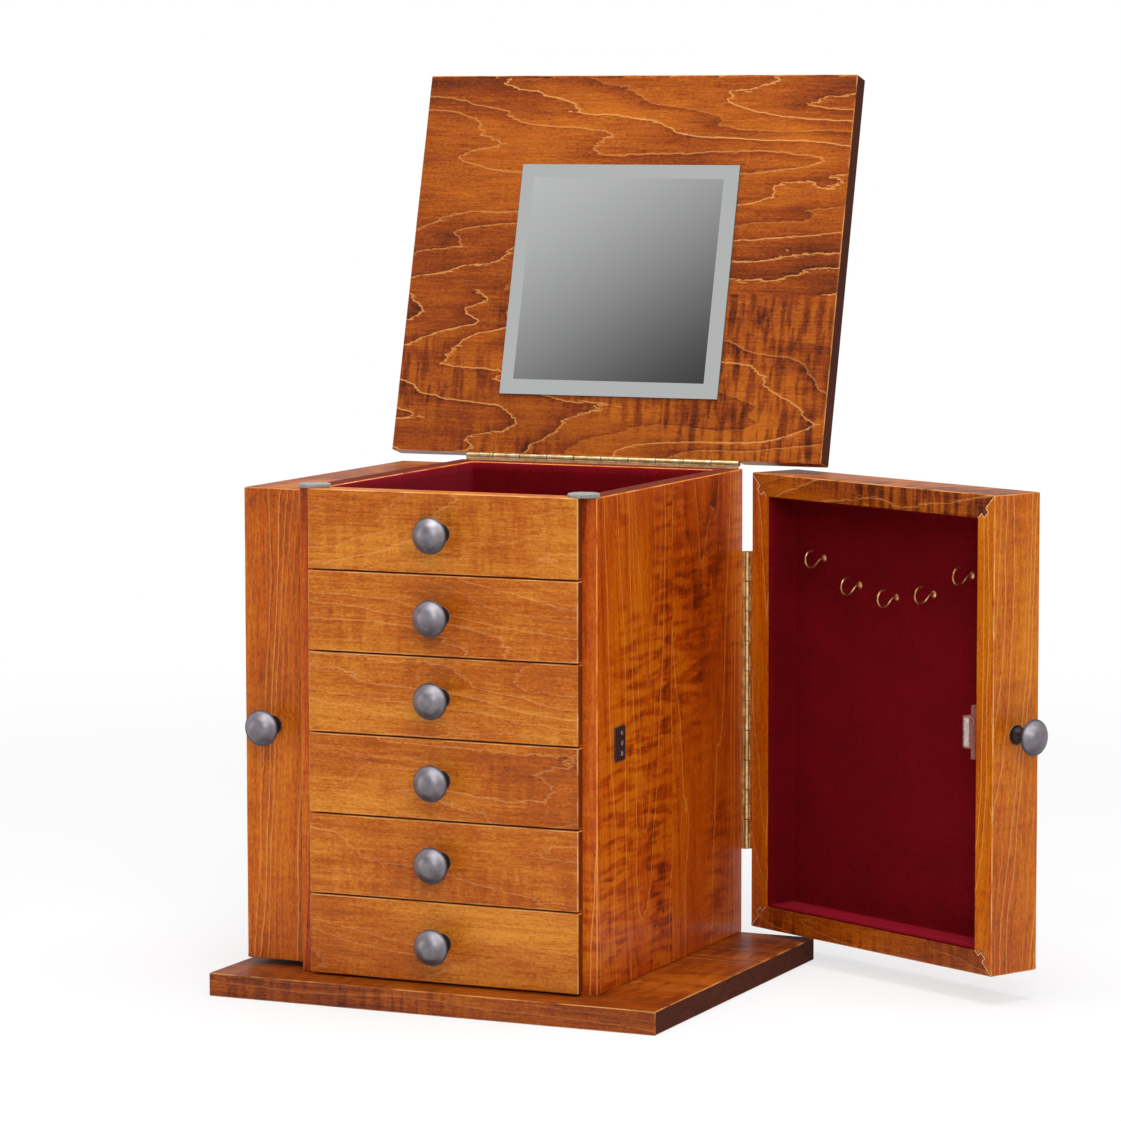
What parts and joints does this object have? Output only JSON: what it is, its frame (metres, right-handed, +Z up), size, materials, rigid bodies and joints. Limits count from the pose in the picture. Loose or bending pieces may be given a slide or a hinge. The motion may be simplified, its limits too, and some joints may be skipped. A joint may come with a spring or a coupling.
{
  "type": "vanity box with mirror",
  "caption": "Wooden table-top jewellery chest with knobbed drawers, a mirrored lift-up lid over a velvet-lined well, and box doors with hooks on both sides.",
  "frame": {"origin": "centre of the base board's underside, in the plane it stands on", "axes": "+Z up, +X to the right seen from the drawers' side, -Y towards the drawers' fronts"},
  "size_m": [0.6377, 0.4488, 0.7445],
  "materials": {
    "stained_maple": "stained and varnished, satin",
    "drawer_wood": "plain sanded",
    "velvet": "crimson velvet",
    "felt": "grey felt",
    "gunmetal": "dark satin",
    "brass": "plated, polished",
    "steel": "drawn wire",
    "bronzed_steel": "dark bronzed",
    "brown_plastic": "moulded",
    "magnet_face": "plated magnet plates",
    "mirror_glass": "silvered, bevelled edge"
  },
  "bodies": {
    "case": {"back_panel": "stained_maple", "base_board": "stained_maple", "bumper_pads": "felt", "case_hinge_screws": "brass", "drawer_dividers": "drawer_wood", "hinge_pins": "steel", "left_hinge_case_leaf": "brass", "lid_hinge_case_leaf": "brass", "right_hinge_case_leaf": "brass", "side_panel_left": "stained_maple", "side_panel_right": "stained_maple", "strike_plates": "bronzed_steel", "top_front": "stained_maple", "top_front_knob": "gunmetal", "well_floor": "drawer_wood", "well_velvet": "velvet"},
    "lid": {"lid_board": "stained_maple", "lid_hinge_leaf": "brass", "lid_mirror": "mirror_glass", "lid_screws": "brass"},
    "left_door": {"left_door_catch": "brown_plastic", "left_door_hinge_leaf": "brass", "left_door_hooks": "brass", "left_door_knob": "gunmetal", "left_door_magnet": "magnet_face", "left_door_panel": "stained_maple", "left_door_rails": "stained_maple", "left_door_screws": "brass", "left_door_stiles": "stained_maple", "left_door_velvet": "velvet"},
    "right_door": {"right_door_catch": "brown_plastic", "right_door_hinge_leaf": "brass", "right_door_hooks": "brass", "right_door_knob": "gunmetal", "right_door_magnet": "magnet_face", "right_door_panel": "stained_maple", "right_door_rails": "stained_maple", "right_door_screws": "brass", "right_door_stiles": "stained_maple", "right_door_velvet": "velvet"},
    "drawer_1": {"drawer_1_bottom": "drawer_wood", "drawer_1_box": "drawer_wood", "drawer_1_front": "stained_maple", "drawer_1_knob": "gunmetal"},
    "drawer_2": {"drawer_2_bottom": "drawer_wood", "drawer_2_box": "drawer_wood", "drawer_2_front": "stained_maple", "drawer_2_knob": "gunmetal"},
    "drawer_3": {"drawer_3_bottom": "drawer_wood", "drawer_3_box": "drawer_wood", "drawer_3_front": "stained_maple", "drawer_3_knob": "gunmetal"},
    "drawer_4": {"drawer_4_bottom": "drawer_wood", "drawer_4_box": "drawer_wood", "drawer_4_front": "stained_maple", "drawer_4_knob": "gunmetal"},
    "drawer_5": {"drawer_5_bottom": "drawer_wood", "drawer_5_box": "drawer_wood", "drawer_5_front": "stained_maple", "drawer_5_knob": "gunmetal"}
  },
  "joints": [
    {"name": "lid_hinge", "type": "hinge", "parent": "case", "child": "lid", "pos_m": [0, 0.1738, 0.41805], "axis": [-1, 0, 0], "range_deg": [-104.5, 0]},
    {"name": "right_door_hinge", "type": "hinge", "parent": "case", "child": "right_door", "pos_m": [0.13417, 0.1738, 0.21752], "axis": [0, 0, 1], "range_deg": [-63, 117]},
    {"name": "left_door_hinge", "type": "hinge", "parent": "case", "child": "left_door", "pos_m": [-0.13417, 0.1738, 0.21752], "axis": [0, 0, -1], "range_deg": [0, 180]},
    {"name": "drawer_1_slide", "type": "slide", "parent": "case", "child": "drawer_1", "axis": [0, -1, 0], "range_m": [0, 0.19]},
    {"name": "drawer_2_slide", "type": "slide", "parent": "case", "child": "drawer_2", "axis": [0, -1, 0], "range_m": [0, 0.19]},
    {"name": "drawer_3_slide", "type": "slide", "parent": "case", "child": "drawer_3", "axis": [0, -1, 0], "range_m": [0, 0.19]},
    {"name": "drawer_4_slide", "type": "slide", "parent": "case", "child": "drawer_4", "axis": [0, -1, 0], "range_m": [0, 0.19]},
    {"name": "drawer_5_slide", "type": "slide", "parent": "case", "child": "drawer_5", "axis": [0, -1, 0], "range_m": [0, 0.19]}
  ]
}
